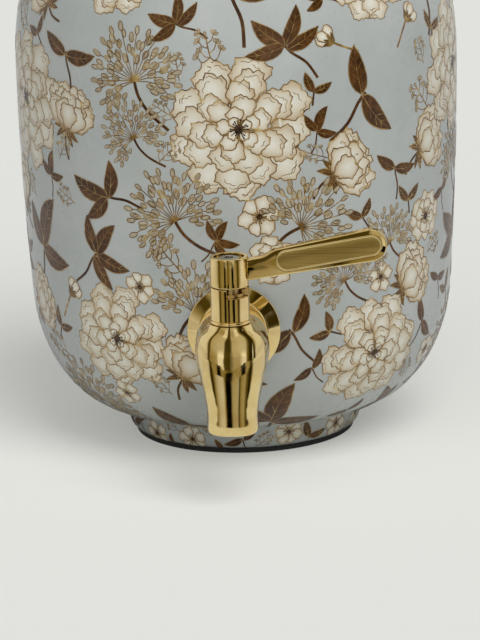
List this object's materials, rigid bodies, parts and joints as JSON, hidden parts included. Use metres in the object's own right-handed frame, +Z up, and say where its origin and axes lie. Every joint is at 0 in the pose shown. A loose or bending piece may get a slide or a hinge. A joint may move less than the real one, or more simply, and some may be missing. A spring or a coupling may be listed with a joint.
{
  "type": "copper water dispenser",
  "caption": "Round printed copper water pot with a domed lift-off lid and a quarter-turn brass tap low on its front, for drinking water on a table or counter.",
  "frame": {"origin": "centre of the base pad's underside, on the pot's axis and on the surface that the pot stands on", "axes": "+Z up along the pot's axis, -Y forward through the tap, +X to the side that the lever points to when the tap is closed"},
  "size_m": [0.19, 0.2317, 0.2915],
  "materials": {
    "printed_enamel": "glossy grey-blue enamel with a cream, brown and gold floral print",
    "polished_copper": "polished copper",
    "polished_brass": "mirror polished brass",
    "brushed_brass": "brushed along the arm",
    "plain_brass": "turned, unpolished",
    "steel": "turned stainless steel",
    "black_rubber": "matt moulded rubber",
    "white_silicone": "matt food-grade silicone"
  },
  "bodies": {
    "dispenser": {"pot_body": "printed_enamel", "foot_ring": "printed_enamel", "base_pad": "black_rubber", "neck_collar": "polished_copper", "tap_flange": "polished_brass", "outer_washer": "black_rubber", "inner_washer": "black_rubber", "shank_washer": "plain_brass", "lock_nut": "plain_brass", "tap_body": "polished_brass", "port_seat": "white_silicone", "bonnet": "polished_brass", "bonnet_gasket": "black_rubber", "thrust_washer": "white_silicone"},
    "tap_lever": {"valve_rotor": "plain_brass", "spindle": "plain_brass", "spindle_oring_lower": "black_rubber", "spindle_oring_upper": "black_rubber", "stop_washer": "plain_brass", "lever_handle": "polished_brass", "lever_inlay_front": "brushed_brass", "lever_inlay_back": "brushed_brass", "handle_screw_washer": "steel", "handle_screw": "steel"},
    "lid": {"lid_shell": "printed_enamel", "lid_sleeve": "polished_copper", "lid_gasket": "white_silicone", "lid_knob": "polished_brass", "knob_washer": "steel", "knob_screw": "steel"}
  },
  "joints": [
    {"name": "tap_turn", "type": "hinge", "parent": "dispenser", "child": "tap_lever", "pos_m": [0, -0.12471, 0.0666], "axis": [0, 0, 1], "range_deg": [-90, 0]},
    {"name": "lid_lift", "type": "slide", "parent": "dispenser", "child": "lid", "axis": [0, 0, 1], "range_m": [0, 0.06]}
  ]
}
